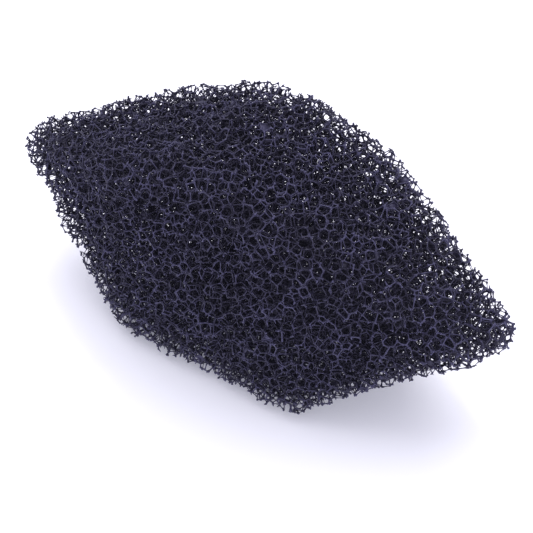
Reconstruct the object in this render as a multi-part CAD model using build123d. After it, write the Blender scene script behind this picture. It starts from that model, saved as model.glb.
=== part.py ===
from build123d import *
import os

# Sponge filter: one loose block of open-cell filter foam, in millimetres.
# The block is cut twice, like sawn foam stock. A side profile gives it a flat
# base, a flat top and two raised ends; a plan profile narrows both ends to
# blunt points. All edges are then rounded.
# Origin: centre of the flat base, on the floor. +X runs along the long
# diagonal, +Y across the block, +Z up.

# --- Driving dimensions -----------------------------------------------------
# Corners are given as they are before the edges are rounded.
TOTAL_HEIGHT = 34.3          # floor to the flat top
END_HEIGHT = 18.2            # floor to the raised ends
END_HALF_LENGTH = 43.4       # centre to each raised end
BASE_HALF_LENGTH = 15.9
TOP_HALF_LENGTH = 4.2

HALF_WIDTH = 13.2            # centre to each long side
SIDE_HALF_LENGTH = 13.9      # where the long sides start to narrow
PLAN_HALF_LENGTH = 47.2      # where the narrowing sides would meet

LOWER_HOLLOW = 1.2           # dish of the two cuts under the ends
UPPER_SWELL = 0.8            # bulge of the two cuts above the ends
EDGE_ROUND = 3.0             # rounding of all edges


def bowed_line(start, end, rise):
    """An arc from start to end whose middle stands off the chord by rise."""
    chord = Vector(*end) - Vector(*start)
    middle = (Vector(*start) + Vector(*end)) / 2
    across = Vector(-chord.Y, chord.X).normalized()
    return ThreePointArc(start, middle + across * rise, end)


def side_profile():
    """The block seen from the side, in the XZ plane."""
    base = (BASE_HALF_LENGTH, 0)
    end = (END_HALF_LENGTH, END_HEIGHT)
    top = (TOP_HALF_LENGTH, TOTAL_HEIGHT)
    with BuildSketch(Plane.XZ) as sketch:
        with BuildLine() as half:
            Line((0, 0), base)
            bowed_line(base, end, LOWER_HOLLOW)
            bowed_line(end, top, -UPPER_SWELL)
            Line(top, (0, TOTAL_HEIGHT))
            mirror(about=Plane.YZ)
        make_face()
    return sketch.sketch


def plan_profile():
    """The block seen from above: a hexagon, long in X."""
    corners = [
        (PLAN_HALF_LENGTH, 0),
        (SIDE_HALF_LENGTH, HALF_WIDTH),
        (-SIDE_HALF_LENGTH, HALF_WIDTH),
        (-PLAN_HALF_LENGTH, 0),
        (-SIDE_HALF_LENGTH, -HALF_WIDTH),
        (SIDE_HALF_LENGTH, -HALF_WIDTH),
    ]
    with BuildSketch(Plane.XY) as sketch:
        with BuildLine():
            Polyline(*corners, close=True)
        make_face()
    return sketch.sketch


def foam_block():
    """The two profiles cut through each other, with every edge rounded."""
    across = extrude(side_profile(), HALF_WIDTH, both=True)
    upright = extrude(plan_profile(), TOTAL_HEIGHT)
    block = across & upright
    return fillet(block.edges(), EDGE_ROUND)


os.makedirs("parts", exist_ok=True)
block = foam_block()
block.label = "foam_block"
export_step(block, "parts/foam_block.step")
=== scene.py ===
import functools
import itertools
import math

import bpy
import numpy as np
from bpy.props import (
    FloatProperty,
    IntProperty,
    PointerProperty,
    StringProperty,
)
from bpy.types import Operator, Panel, PropertyGroup
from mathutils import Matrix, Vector, noise
from mathutils.bvhtree import BVHTree
from mathutils.kdtree import KDTree


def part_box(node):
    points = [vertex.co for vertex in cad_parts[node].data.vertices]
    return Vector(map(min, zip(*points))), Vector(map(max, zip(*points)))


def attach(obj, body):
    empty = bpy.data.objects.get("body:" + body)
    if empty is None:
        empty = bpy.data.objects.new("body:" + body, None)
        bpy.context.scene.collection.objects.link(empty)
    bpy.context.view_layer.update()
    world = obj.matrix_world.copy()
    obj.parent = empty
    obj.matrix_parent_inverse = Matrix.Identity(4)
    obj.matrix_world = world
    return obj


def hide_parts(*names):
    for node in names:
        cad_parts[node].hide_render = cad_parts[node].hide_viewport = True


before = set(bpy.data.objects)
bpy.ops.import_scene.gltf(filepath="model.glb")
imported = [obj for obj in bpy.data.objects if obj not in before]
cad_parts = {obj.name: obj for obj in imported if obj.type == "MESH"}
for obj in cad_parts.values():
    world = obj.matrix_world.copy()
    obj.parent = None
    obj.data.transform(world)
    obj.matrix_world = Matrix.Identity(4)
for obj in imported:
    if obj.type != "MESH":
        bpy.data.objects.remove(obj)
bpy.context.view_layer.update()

bl_info = {
    "name": "Sponge filter block",
    "version": (1, 0, 0),
    "blender": (4, 5, 0),
    "location": "3D View > Sidebar > Sponge filter",
    "description": "Builds a loose block of open-cell filter foam, strut by strut",
    "category": "Add Mesh",
}

MM = 0.001
CAD_BLOCK = "foam_block"

# --- How the foam froth is laid out -----------------------------------------
SEED_SHELL = 1.5          # cells of froth made outside the block, then cut off
LATTICE_SHAKE = 0.55      # how far bubbles leave their starting places, in cells
SETTLE_STEPS = 6          # rounds of bubbles pushing each other apart
SETTLE_REACH = 1.0        # bubbles nearer than this push, in cells
SETTLE_PUSH = 0.22        # share of the overlap taken out in one round
BURST_SHARE = 0.08        # bubbles that burst and leave their room to others
TOUCHING = 12             # neighbours that push on a bubble
MEETING = 24              # neighbours a bubble may share a corner with
WATCHED = 32              # neighbours looked at to see if a corner is free
WIDEST_CORNER = 0.9       # corners further from their bubbles are dropped, in cells
BATCH = 400               # bubbles worked out at a time
FLAT_CORNER = 1e-9        # four bubbles this close to one plane share no corner
SAME_REACH = 1 - 1e-9     # leaves a corner free when others are just as near
TINY = 1e-9               # keeps a length from being divided by zero

# --- How a strut is shaped --------------------------------------------------
# How far cut struts stand out of the CAD surface, by height: the block is worn
# back along its base, and a little proud higher up.
OUTSET_AT = (0.0 * MM, 3.0 * MM, 10.0 * MM)
OUTSETS = (-0.2 * MM, 0.0 * MM, 0.55 * MM)
FLOOR_GAP = 0.25 * MM     # knots stay this far up, so that none dips into the floor
PIT_WIDTH = 4.5 * MM      # the cut surface is pitted and bumpy on this scale,
PIT_DEPTH = 0.7 * MM      # to this depth
STUB_SPREAD = 0.30        # cut struts end this far from the surface, in cells
STUB_SHORTEST = 0.15      # least and greatest part of a cut strut that is left
STUB_LONGEST = 0.40       # standing
WIDTH_SPREAD = 0.12       # how much strut widths differ, as a share
# Strut width by height over the surface: a dense belt under the skin closes the
# rim, and thin struts in the core let light through.
GIRTH_AT = (-3.8 * MM, -2.4 * MM, -0.8 * MM)
GIRTHS = (0.42, 1.15, 1.0)
BROKEN_SHARE = 0.5        # struts left out to let light through,
BROKEN_DEPTH = 3.2 * MM   # deeper than this
# Struts are drawn with fewer rings the deeper they lie.
LAYERS = (
    ("skin", -3.0 * MM, math.inf, (0, 0.2, 0.5, 0.8, 1)),
    ("middle", -6.5 * MM, -3.0 * MM, (0, 0.5, 1)),
    ("core", -math.inf, -6.5 * MM, (0, 1)),
)
KNOT_REACH = 0.20 * MM    # a knot's web thins out over this distance
PAINTED_SHEEN_DEPTH = 1.6 * MM     # painted sheen: struts are painted paler down to here, for the light the outer ones catch
PIECE_FACES = 190_000     # triangles in one piece, so that no mesh is too heavy


# --- How a left-over window film is shaped ----------------------------------
FILM_THICKNESS = 0.02 * MM
FILM_DEPTH = 6.0 * MM     # no films deeper than this, where none could be seen
FILM_DOME = 0.08          # how far a film bulges, as a share of its width

# --- How the foam takes the light -------------------------------------------
URETHANE_IOR = 1.49
GLINT_TINT = "#DEDEFF"    # bluish highlights of blue-black dye
DYE_DRIFT = 4.0 * MM      # the dye changes tone over this length,
DYE_MOTTLE = 1.2 * MM     # and is mottled over this one
DYE_BLEND = (0.8, 1.2)    # noise sums that give the least and most painted sheen,
SHEEN_PATCH_SHARES = (0.2, 1.15)    # and how much of the painted sheen those patches keep
GLOSS_WIDTH = 0.9 * MM    # a glossy patch is about this wide
GLOSS_NOISE = (0.32, 0.5)       # noise that gives a glossy and a satin strut,
GLOSS_ROUGHNESS = (0.12, 0.45)  # and how rough those are

# --- How the studio is set up -----------------------------------------------
VEIL = (-0.0032, -0.0032, -0.0050)   # linear light, taken off the black point
FLOOR_HALF = 3.0          # metres from the middle of the floor to its edge
FLOOR_ROUGHNESS = 0.6
ACRYLIC_IOR = 1.49
FLOOR_GLOW = 0.2          # the table's own light, which fills the shadows
FLOOR_GLOW_COLOUR = "#E2E4FA"
AIR_COLOUR = "#F6F4FF"
AIR_STRENGTH = 0.88
# Name, place in metres, width in metres, power in watts.
LAMPS = (
    ("overhead_softbox", (-0.09, 0.12, 0.60), 0.8, 2.8),
    ("front_softbox", (0.45, -0.30, 0.12), 0.4, 1.6),
    ("spark_lamp", (-0.25, 0.20, 0.60), 0.05, 0.25),
)
LAMP_TARGET = Vector((0, 0, 0.015))
CAMERA_TARGET = Vector((4.2, -2.1, 15.0))   # millimetres
CAMERA_NEAR = 0.01


def linear(hex_colour):
    """An sRGB hex colour such as #30303E, as linear red, green, blue, alpha."""
    text = hex_colour.lstrip("#")
    values = [int(text[i:i + 2], 16) / 255 for i in (0, 2, 4)]
    straight = [
        v / 12.92 if v <= 0.04045 else ((v + 0.055) / 1.055) ** 2.4 for v in values
    ]
    return (*straight, 1.0)


# --- Settings ---------------------------------------------------------------
class SpongeFilterFoam(PropertyGroup):
    """Sizes and colours of the foam"""

    cell: FloatProperty(
        name="Cell size", description="Distance across one foam cell",
        default=1.65 * MM, unit="LENGTH")
    strut: FloatProperty(
        name="Strut width", description="Width of a strut at its thinnest",
        default=0.11 * MM, unit="LENGTH")
    knot: FloatProperty(
        name="Knot swelling", description="Strut width at a knot over its thinnest",
        default=2.6, min=1.0)
    pattern: IntProperty(
        name="Pattern", description="Number that picks one random foam", default=11)
    body_colour: StringProperty(
        name="Foam colour", description="Dyed foam, sRGB hex", default="#1B1827")
    # The paler colour is a painted sheen on the struts near the surface, for the light
    # they catch; the foam colour is the dark dye, left on the deeper struts where it also
    # stands in for the shade inside the foam.
    sheen_colour: StringProperty(
        name="Painted sheen colour", description="Paler struts, painted sheen, sRGB hex",
        default="#403E5A")
    skin_share: FloatProperty(
        name="Left-over windows", description="Share of windows that kept their film",
        default=0.012, subtype="FACTOR", min=0, max=1)


class SpongeFilterStage(PropertyGroup):
    """Floor, lights and camera"""

    floor_colour: StringProperty(
        name="Floor colour", description="Studio floor, sRGB hex", default="#EFEFF6")
    azimuth: FloatProperty(
        name="Azimuth", description="Camera turn about the block",
        default=math.radians(36.0), subtype="ANGLE")
    elevation: FloatProperty(
        name="Elevation", description="Camera height over the floor",
        default=math.radians(38.7), subtype="ANGLE")
    distance: FloatProperty(
        name="Distance", description="Camera to the block", default=195.2 * MM,
        unit="LENGTH")
    lens: FloatProperty(
        name="Lens", description="Focal length in millimetres", default=96.0)


# --- The froth --------------------------------------------------------------
def block_surface():
    """The CAD block's surface, for finding how deep a point lies."""
    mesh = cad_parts[CAD_BLOCK].data
    corners = [tuple(v.co) for v in mesh.vertices]
    faces = [tuple(p.vertices) for p in mesh.polygons]
    return BVHTree.FromPolygons(corners, faces)


def heights_over(surface, points):
    """Distance of each point from the surface, negative inside the block."""
    out = np.empty(len(points))
    for i, point in enumerate(points):
        place, normal, _, distance = surface.find_nearest(point)
        outside = (Vector(point) - place).dot(normal) > 0
        out[i] = distance if outside else -distance
    return out


def neighbours(points, count):
    """For each point, its nearest others, nearest first."""
    tree = KDTree(len(points))
    for i, point in enumerate(points):
        tree.insert(point, i)
    tree.balance()
    out = np.empty((len(points), count), int)
    for i, point in enumerate(points):
        found = tree.find_n(point, count + 1)
        out[i] = [item[1] for item in found if item[1] != i][:count]
    return out


def stacked_bubbles(low, high, cell):
    """Bubble centres at the corners and middles of boxes a cell wide."""
    counts = np.ceil((high - low) / cell).astype(int) + 1
    axes = [np.arange(n) for n in counts]
    grid = np.stack(np.meshgrid(*axes, indexing="ij"), -1).reshape(-1, 3)
    return np.concatenate([low + grid * cell, low + (grid + 0.5) * cell])


def settled(points, cell):
    """Bubble centres after they have pushed each other apart."""
    for _ in range(SETTLE_STEPS):
        near = neighbours(points, TOUCHING)
        apart = points[:, None] - points[near]
        gap = np.linalg.norm(apart, axis=2, keepdims=True)
        overlap = np.clip(SETTLE_REACH * cell - gap, 0, None)
        points = points + SETTLE_PUSH * (overlap / gap * apart).sum(1)
    return points


def corner_places(points, cell):
    """Where four bubbles meet: the four bubbles, and the point between them."""
    near = neighbours(points, WATCHED)
    triples = np.array(list(itertools.combinations(range(MEETING), 3)))
    owners, places = [], []
    for first in range(0, len(points), BATCH):
        ids = np.arange(first, min(len(points), first + BATCH))
        later = near[ids][:, :MEETING] > ids[:, None]
        usable = later[:, triples[:, 0]]
        usable &= later[:, triples[:, 1]]
        usable &= later[:, triples[:, 2]]
        row, column = np.nonzero(usable)
        trio = triples[column]
        around = points[near[ids]] - points[ids][:, None]
        a, b, c = (around[row, trio[:, k]] for k in range(3))
        b_c = np.cross(b, c)
        volume = 2 * np.einsum("ij,ij->i", a, b_c)
        middle = (a * a).sum(1)[:, None] * b_c
        middle += (b * b).sum(1)[:, None] * np.cross(c, a)
        middle += (c * c).sum(1)[:, None] * np.cross(a, b)
        volume[np.abs(volume) < FLAT_CORNER * cell ** 3] = np.inf
        middle /= volume[:, None]
        reach = (middle * middle).sum(1)
        fair = (reach > 0) & (reach < (WIDEST_CORNER * cell) ** 2)
        row, trio, middle, reach = row[fair], trio[fair], middle[fair], reach[fair]
        others = ((around[row] - middle[:, None]) ** 2).sum(2)
        np.put_along_axis(others, trio, np.inf, axis=1)
        free = others.min(1) >= reach * SAME_REACH
        row, trio, middle = row[free], trio[free], middle[free]
        owner = ids[row]
        friends = near[owner[:, None], trio]
        owners.append(np.concatenate([owner[:, None], friends], 1))
        places.append(middle + points[owner])
    return np.sort(np.concatenate(owners), 1), np.concatenate(places)


def strut_ends(owners, count):
    """Corners that share three bubbles are joined by a strut."""
    sides = [owners[:, [0, 1, 2]], owners[:, [0, 1, 3]]]
    sides += [owners[:, [0, 2, 3]], owners[:, [1, 2, 3]]]
    sides = np.concatenate(sides)
    corner = np.tile(np.arange(len(owners)), 4)
    key = (sides[:, 0] * count + sides[:, 1]) * count + sides[:, 2]
    order = np.argsort(key, kind="stable")
    pair = np.nonzero(key[order][1:] == key[order][:-1])[0]
    ends = np.stack([corner[order[pair]], corner[order[pair + 1]]], 1)
    return ends, sides[order[pair]]


@functools.lru_cache(maxsize=1)
def froth(cell, pattern):
    """The whole foam: bubbles, corners, each corner's depth, and the struts."""
    chance = np.random.default_rng(pattern)
    surface = block_surface()
    low, high = (np.array(corner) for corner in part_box(CAD_BLOCK))
    margin = (SEED_SHELL + 1) * cell
    points = stacked_bubbles(low - margin, high + margin, cell)
    points = points[heights_over(surface, points) < SEED_SHELL * cell]
    points += chance.uniform(-LATTICE_SHAKE, LATTICE_SHAKE, points.shape) * cell
    points = settled(points, cell)
    points = points[chance.random(len(points)) > BURST_SHARE]
    owners, corners = corner_places(points, cell)
    ends, trios = strut_ends(owners, len(points))
    heights = heights_over(surface, corners)
    heights -= np.interp(corners[:, 2], OUTSET_AT, OUTSETS)
    pits = [noise.noise(Vector(corner) / PIT_WIDTH) for corner in corners]
    heights += PIT_DEPTH * np.array(pits)
    heights = np.maximum(heights, FLOOR_GAP - corners[:, 2])
    return points, owners, corners, heights, ends, trios


# --- The struts -------------------------------------------------------------
def cut_struts(cell, pattern):
    """Each strut's start, end, bubbles and end heights, cut off at the surface."""
    points, _, corners, heights, ends, trios = froth(cell, pattern)
    chance = np.random.default_rng(pattern + 1)
    inside = heights < 0
    kept = inside[ends].any(1)
    ends, trios = ends[kept], trios[kept]
    swap = ~inside[ends[:, 0]]
    ends[swap] = ends[swap][:, ::-1]
    start, end = corners[ends[:, 0]], corners[ends[:, 1]]
    h_start, h_end = heights[ends[:, 0]], heights[ends[:, 1]]
    cut = h_end > 0
    level = chance.normal(0, STUB_SPREAD / 2, len(ends)) * cell
    level = np.clip(level, -STUB_SPREAD * cell, 0)
    share = np.where(cut, (level - h_start) / (h_end - h_start), 1.0)
    share = np.where(cut, np.clip(share, STUB_SHORTEST, STUB_LONGEST), 1.0)
    end = start + (end - start) * share[:, None]
    h_end = h_start + (h_end - h_start) * share
    return start, end, points[trios], np.stack([h_start, h_end], 1), cut


def strut_rings(start, end, bubbles, shares, radii):
    """Rings of three points along each strut, their edges facing its windows."""
    along = end - start
    length = np.linalg.norm(along, axis=1, keepdims=True)
    along = along / np.maximum(length, TINY)
    middle = (start + end) / 2
    away = middle[:, None] - bubbles
    away -= np.einsum("ijk,ik->ij", away, along)[..., None] * along[:, None]
    away /= np.maximum(np.linalg.norm(away, axis=2, keepdims=True), TINY)
    turn = np.einsum("ij,ij->i", np.cross(away[:, 0], away[:, 1]), along)
    flip = turn < 0
    away[flip] = away[flip][:, ::-1]
    rings = []
    for share, radius in zip(shares, radii.T):
        centre = start + (end - start) * share
        rings.append(centre[:, None] + away * radius[:, None, None])
    return np.stack(rings, 1)


def ring_radii(start, end, shares, thin, cut, knot):
    """Strut radius at each ring: thin at the waist, webbed out at each knot."""
    length = np.linalg.norm(end - start, axis=1)[:, None]
    shares = np.array(shares)[None]
    from_end = np.where(cut[:, None], np.inf, (1 - shares) * length)
    from_knot = np.minimum(shares * length, from_end)
    return thin[:, None] * (1 + (knot - 1) * np.exp(-from_knot / KNOT_REACH))


def prism_faces(count, rings):
    """Vertex numbers and face sizes of many closed, three-sided prisms."""
    quads = []
    for ring in range(rings - 1):
        for side in range(3):
            a, b = ring * 3 + side, ring * 3 + (side + 1) % 3
            quads.append((a, b, b + 3, a + 3))
    each = rings * 3
    caps = [(2, 1, 0), (each - 3, each - 2, each - 1)]
    step = (np.arange(count) * each)[:, None, None]
    loops = [(np.array(part)[None] + step).ravel() for part in (quads, caps)]
    sizes = [np.full(len(quads) * count, 4), np.full(len(caps) * count, 3)]
    return np.concatenate(loops), np.concatenate(sizes)


def smooth_mesh(name, verts, loops, sizes, painted_sheen):
    """A smooth-shaded mesh that carries a painted sheen value at each vertex."""
    mesh = bpy.data.meshes.new(name)
    mesh.vertices.add(len(verts))
    mesh.vertices.foreach_set("co", verts.astype(np.float32).ravel())
    mesh.loops.add(len(loops))
    mesh.loops.foreach_set("vertex_index", loops.astype(np.int32))
    mesh.polygons.add(len(sizes))
    starts = np.concatenate([[0], np.cumsum(sizes)[:-1]])
    mesh.polygons.foreach_set("loop_start", starts.astype(np.int32))
    mesh.polygons.foreach_set("use_smooth", np.ones(len(sizes), bool))
    mesh.update(calc_edges=True)
    # The painted sheen value: how far each vertex is painted towards the paler colour,
    # for the light on the outer struts.
    layer = mesh.attributes.new("painted_sheen", "FLOAT", "POINT")
    layer.data.foreach_set("value", painted_sheen.astype(np.float32))
    return mesh


def painted_sheen_at(heights):
    """Full painted sheen on the surface, none at the sheen depth: outer struts are
    painted paler for the light they catch.
    """
    return np.clip(1 + heights / PAINTED_SHEEN_DEPTH, 0, 1)


# --- The films --------------------------------------------------------------
def film_outlines(cell, pattern, share):
    """Corner points, in order, of the few windows that kept their film."""
    points, owners, corners, heights, _, _ = froth(cell, pattern)
    chance = np.random.default_rng(pattern + 3)
    pairs = list(itertools.combinations(range(4), 2))
    key = np.concatenate([owners[:, a] * len(points) + owners[:, b] for a, b in pairs])
    corner = np.tile(np.arange(len(owners)), len(pairs))
    order = np.argsort(key, kind="stable")
    windows, first = np.unique(key[order], return_index=True)
    groups = np.split(corner[order], first[1:])
    outlines = []
    for window, ring, luck in zip(windows, groups, chance.random(len(windows))):
        if luck > share or len(ring) < 3:
            continue
        if heights[ring].max() > 0 or heights[ring].mean() < -FILM_DEPTH:
            continue
        axis = points[window // len(points)] - points[window % len(points)]
        axis = axis / np.linalg.norm(axis)
        centre = corners[ring].mean(0)
        arm = corners[ring[0]] - centre
        side = np.cross(axis, arm)
        spoke = corners[ring] - centre
        ring = ring[np.argsort(np.arctan2(spoke @ side, spoke @ arm))]
        outlines.append((corners[ring], centre, axis, heights[ring].mean()))
    return outlines


def film_plates(outlines):
    """A thin, slightly domed, closed plate in each window."""
    verts, loops, sizes, painted_sheen = [], [], [], []
    for ring, centre, axis, height in outlines:
        count = len(ring)
        base = sum(len(part) for part in verts)
        half = axis * FILM_THICKNESS / 2
        width = np.linalg.norm(ring - centre, axis=1).mean() * 2
        dome = centre + axis * width * FILM_DOME
        verts.append(np.concatenate([ring + half, [dome + half]]))
        verts.append(np.concatenate([ring - half, [dome - half]]))
        top, low = base + count, base + 2 * count + 1
        for a in range(count):
            b = (a + 1) % count
            front, back = base + a, base + count + 1 + a
            front_b, back_b = base + b, base + count + 1 + b
            loops += [front, front_b, top, back_b, back, low]
            loops += [front_b, front, back, back_b]
            sizes += [3, 3, 4]
        # Films near the surface get the painted sheen too.
        painted_sheen.append(np.full(2 * count + 2, painted_sheen_at(height)))
    return np.concatenate(verts), np.array(loops), np.array(sizes), np.concatenate(painted_sheen)


def add_piece(name, mesh, material):
    """A foam piece that rides with the block and stands for its CAD solid."""
    piece = bpy.data.objects.new(name, mesh)
    bpy.context.scene.collection.objects.link(piece)
    mesh.materials.append(material)
    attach(piece, "root")
    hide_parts(CAD_BLOCK)
    return piece


# --- Materials --------------------------------------------------------------
RANGE_SOCKETS = ("From Min", "From Max", "To Min", "To Max")
MIX_A, MIX_B = 6, 7       # the colour sockets of a mix node


def add_node(tree, kind, settings=None, values=None, links=None):
    """One node, with its settings, socket values and incoming links."""
    node = tree.nodes.new(kind)
    for key, value in (settings or {}).items():
        setattr(node, key, value)
    for key, value in (values or {}).items():
        node.inputs[key].default_value = value
    for key, source in (links or {}).items():
        tree.links.new(source, node.inputs[key])
    return node


def new_material(name, values):
    """A material, its node tree and its bare Principled shader."""
    material = bpy.data.materials.new(name)
    material.use_nodes = True
    tree = material.node_tree
    tree.nodes.clear()
    shader = add_node(tree, "ShaderNodeBsdfPrincipled", values=values)
    add_node(tree, "ShaderNodeOutputMaterial", links={"Surface": shader.outputs[0]})
    return material, tree, shader


def foam_material(foam):
    """Reticulated polyurethane foam, dyed blue-black and flame-cleaned.

    The flame that burst the cell windows left every strut smooth and slightly
    glassy, so each one carries a small soft highlight on a dark body. The tone
    varies at random over a few cells. Struts near the surface are painted paler, a
    painted sheen for the light they catch; deeper ones keep the dark dye, so the shade
    inside the foam is partly painted.
    """
    material, tree, shader = new_material(
        "Reticulated polyurethane foam, dyed",
        {"IOR": URETHANE_IOR, "Metallic": 0.0, "Specular Tint": linear(GLINT_TINT)})
    place = add_node(tree, "ShaderNodeTexCoord").outputs["Object"]
    # Dye drifts over about three cells.
    drift = add_node(
        tree, "ShaderNodeTexNoise",
        values={"Scale": 1 / DYE_DRIFT, "Detail": 1.0, "Roughness": 0.5},
        links={"Vector": place})
    # Fine mottling about one strut long.
    mottle = add_node(
        tree, "ShaderNodeTexNoise",
        values={"Scale": 1 / DYE_MOTTLE, "Detail": 2.0, "Roughness": 0.6},
        links={"Vector": place})
    blend = add_node(
        tree, "ShaderNodeMath", {"operation": "ADD"},
        links={0: drift.outputs["Fac"], 1: mottle.outputs["Fac"]})
    # Most struts are satin; here and there one is as glossy as it was cast, and
    # glints.
    gloss = add_node(
        tree, "ShaderNodeTexNoise",
        values={"Scale": 1 / GLOSS_WIDTH, "Detail": 0.0}, links={"Vector": place})
    satin = add_node(
        tree, "ShaderNodeMapRange",
        values=dict(zip(RANGE_SOCKETS, GLOSS_NOISE + GLOSS_ROUGHNESS)),
        links={"Value": gloss.outputs["Fac"]})
    tree.links.new(satin.outputs[0], shader.inputs["Roughness"])
    patchy = add_node(
        tree, "ShaderNodeMapRange",
        values=dict(zip(RANGE_SOCKETS, DYE_BLEND + SHEEN_PATCH_SHARES)),
        links={"Value": blend.outputs[0]})
    # Painted sheen: struts near the surface are mixed towards the paler colour for the
    # light they catch, and deeper ones keep the dark dye, which also stands in for the
    # shade inside the foam.
    painted_sheen = add_node(tree, "ShaderNodeAttribute", {"attribute_name": "painted_sheen"})
    share = add_node(
        tree, "ShaderNodeMath", {"operation": "MULTIPLY"},
        links={0: patchy.outputs[0], 1: painted_sheen.outputs["Fac"]})
    colour = add_node(
        tree, "ShaderNodeMix", {"data_type": "RGBA"},
        values={MIX_A: linear(foam.body_colour), MIX_B: linear(foam.sheen_colour)},
        links={0: share.outputs[0]})
    tree.links.new(colour.outputs[2], shader.inputs["Base Color"])
    return material


# --- Operators --------------------------------------------------------------
class OBJECT_OT_sponge_filter_struts(Operator):
    """Build the foam's struts, cut to the outline of the block"""

    bl_idname = "object.sponge_filter_struts"
    bl_label = "Foam struts"

    def execute(self, context):
        foam = context.scene.sponge_filter_foam
        start, end, bubbles, heights, cut = cut_struts(foam.cell, foam.pattern)
        material = foam_material(foam)
        chance = np.random.default_rng(foam.pattern + 2)
        thin = foam.strut / math.sqrt(3) * chance.normal(1, WIDTH_SPREAD, len(start))
        highest = heights.max(1)
        thin = thin * np.interp(highest, GIRTH_AT, GIRTHS)
        whole = (highest > -BROKEN_DEPTH) | (chance.random(len(start)) > BROKEN_SHARE)
        for label, low, high, shares in LAYERS:
            rows = np.nonzero((highest >= low) & (highest < high) & whole)[0]
            rows = rows[np.argsort(start[rows, 0], kind="stable")]
            faces_each = 6 * (len(shares) - 1) + 2
            pieces = math.ceil(len(rows) * faces_each / PIECE_FACES)
            for number, part in enumerate(np.array_split(rows, pieces), 1):
                radii = ring_radii(
                    start[part], end[part], shares, thin[part], cut[part], foam.knot)
                verts = strut_rings(
                    start[part], end[part], bubbles[part], shares, radii)
                # Painted sheen by depth at each ring of the strut: outer rings are
                # painted paler.
                level = heights[part][:, :1] + np.array(shares)[None] * (
                    heights[part][:, 1:] - heights[part][:, :1])
                painted_sheen = np.repeat(painted_sheen_at(level).ravel(), 3)
                loops, sizes = prism_faces(len(part), len(shares))
                name = f"foam_{label}_{number}"
                mesh = smooth_mesh(name, verts.reshape(-1, 3), loops, sizes, painted_sheen)
                add_piece(name, mesh, material)
        return {"FINISHED"}


class OBJECT_OT_sponge_filter_films(Operator):
    """Close the few windows that kept their thin film"""

    bl_idname = "object.sponge_filter_films"
    bl_label = "Left-over films"

    def execute(self, context):
        foam = context.scene.sponge_filter_foam
        outlines = film_outlines(foam.cell, foam.pattern, foam.skin_share)
        if not outlines:
            raise RuntimeError("no window kept its film")
        mesh = smooth_mesh("foam_films", *film_plates(outlines))
        add_piece("foam_films", mesh, foam_material(foam))
        return {"FINISHED"}


class OBJECT_OT_sponge_filter_stage(Operator):
    """Lay the floor, hang the lights and place the camera"""

    bl_idname = "object.sponge_filter_stage"
    bl_label = "Studio"

    def execute(self, context):
        stage = context.scene.sponge_filter_stage
        scene = context.scene
        # The bright floor veils the lens a little, which lifts the darkest tones.
        scene.view_settings.view_transform = "Standard"
        scene.view_settings.use_curve_mapping = True
        scene.view_settings.curve_mapping.black_level = VEIL
        self.lay_floor(stage)
        self.hang_lights(scene)
        self.place_camera(stage, scene)
        return {"FINISHED"}

    def lay_floor(self, stage):
        mesh = bpy.data.meshes.new("studio_floor")
        half = FLOOR_HALF
        corners = [(-half, -half, 0), (half, -half, 0), (half, half, 0), (-half, half, 0)]
        mesh.from_pydata(corners, [], [(0, 1, 2, 3)])
        floor = bpy.data.objects.new("studio_floor", mesh)
        bpy.context.scene.collection.objects.link(floor)
        material, _, _ = new_material(
            "Opal acrylic light table",
            {"Roughness": FLOOR_ROUGHNESS, "IOR": ACRYLIC_IOR,
             "Emission Strength": FLOOR_GLOW,
             "Base Color": linear(stage.floor_colour),
             "Emission Color": linear(FLOOR_GLOW_COLOUR)})
        mesh.materials.append(material)

    def hang_lights(self, scene):
        world = bpy.data.worlds.new("studio_air")
        scene.world = world
        world.use_nodes = True
        background = world.node_tree.nodes["Background"]
        background.inputs["Color"].default_value = linear(AIR_COLOUR)
        background.inputs["Strength"].default_value = AIR_STRENGTH
        for name, place, size, power in LAMPS:
            data = bpy.data.lights.new(name, "AREA")
            data.shape = "DISK"
            data.size = size
            data.energy = power
            lamp = bpy.data.objects.new(name, data)
            lamp.location = place
            aim = LAMP_TARGET - Vector(place)
            lamp.rotation_euler = aim.to_track_quat("-Z", "Y").to_euler()
            scene.collection.objects.link(lamp)

    def place_camera(self, stage, scene):
        target = CAMERA_TARGET * MM
        level = math.cos(stage.elevation) * stage.distance
        place = target + Vector((
            math.sin(stage.azimuth) * level,
            -math.cos(stage.azimuth) * level,
            math.sin(stage.elevation) * stage.distance))
        data = bpy.data.cameras.new("camera")
        data.lens = stage.lens
        data.clip_start = CAMERA_NEAR
        camera = bpy.data.objects.new("camera", data)
        camera.location = place
        camera.rotation_euler = (target - place).to_track_quat("-Z", "Y").to_euler()
        scene.collection.objects.link(camera)
        scene.camera = camera


class VIEW3D_PT_sponge_filter(Panel):
    """Sponge filter block"""

    bl_label = "Sponge filter"
    bl_space_type = "VIEW_3D"
    bl_region_type = "UI"
    bl_category = "Sponge filter"

    def draw(self, context):
        foam = context.scene.sponge_filter_foam
        stage = context.scene.sponge_filter_stage
        for group in (foam, stage):
            box = self.layout.box()
            for key in group.__annotations__:
                box.prop(group, key)
        for operator in OPERATORS:
            self.layout.operator(operator.bl_idname)


OPERATORS = (
    OBJECT_OT_sponge_filter_struts,
    OBJECT_OT_sponge_filter_films,
    OBJECT_OT_sponge_filter_stage,
)
CLASSES = (SpongeFilterFoam, SpongeFilterStage, *OPERATORS, VIEW3D_PT_sponge_filter)


def register():
    for item in CLASSES:
        bpy.utils.register_class(item)
    bpy.types.Scene.sponge_filter_foam = PointerProperty(type=SpongeFilterFoam)
    bpy.types.Scene.sponge_filter_stage = PointerProperty(type=SpongeFilterStage)


def unregister():
    del bpy.types.Scene.sponge_filter_stage
    del bpy.types.Scene.sponge_filter_foam
    for item in reversed(CLASSES):
        bpy.utils.unregister_class(item)


def main():
    register()
    bpy.ops.object.sponge_filter_struts()
    bpy.ops.object.sponge_filter_films()
    bpy.ops.object.sponge_filter_stage()


if __name__ == "__main__":
    main()
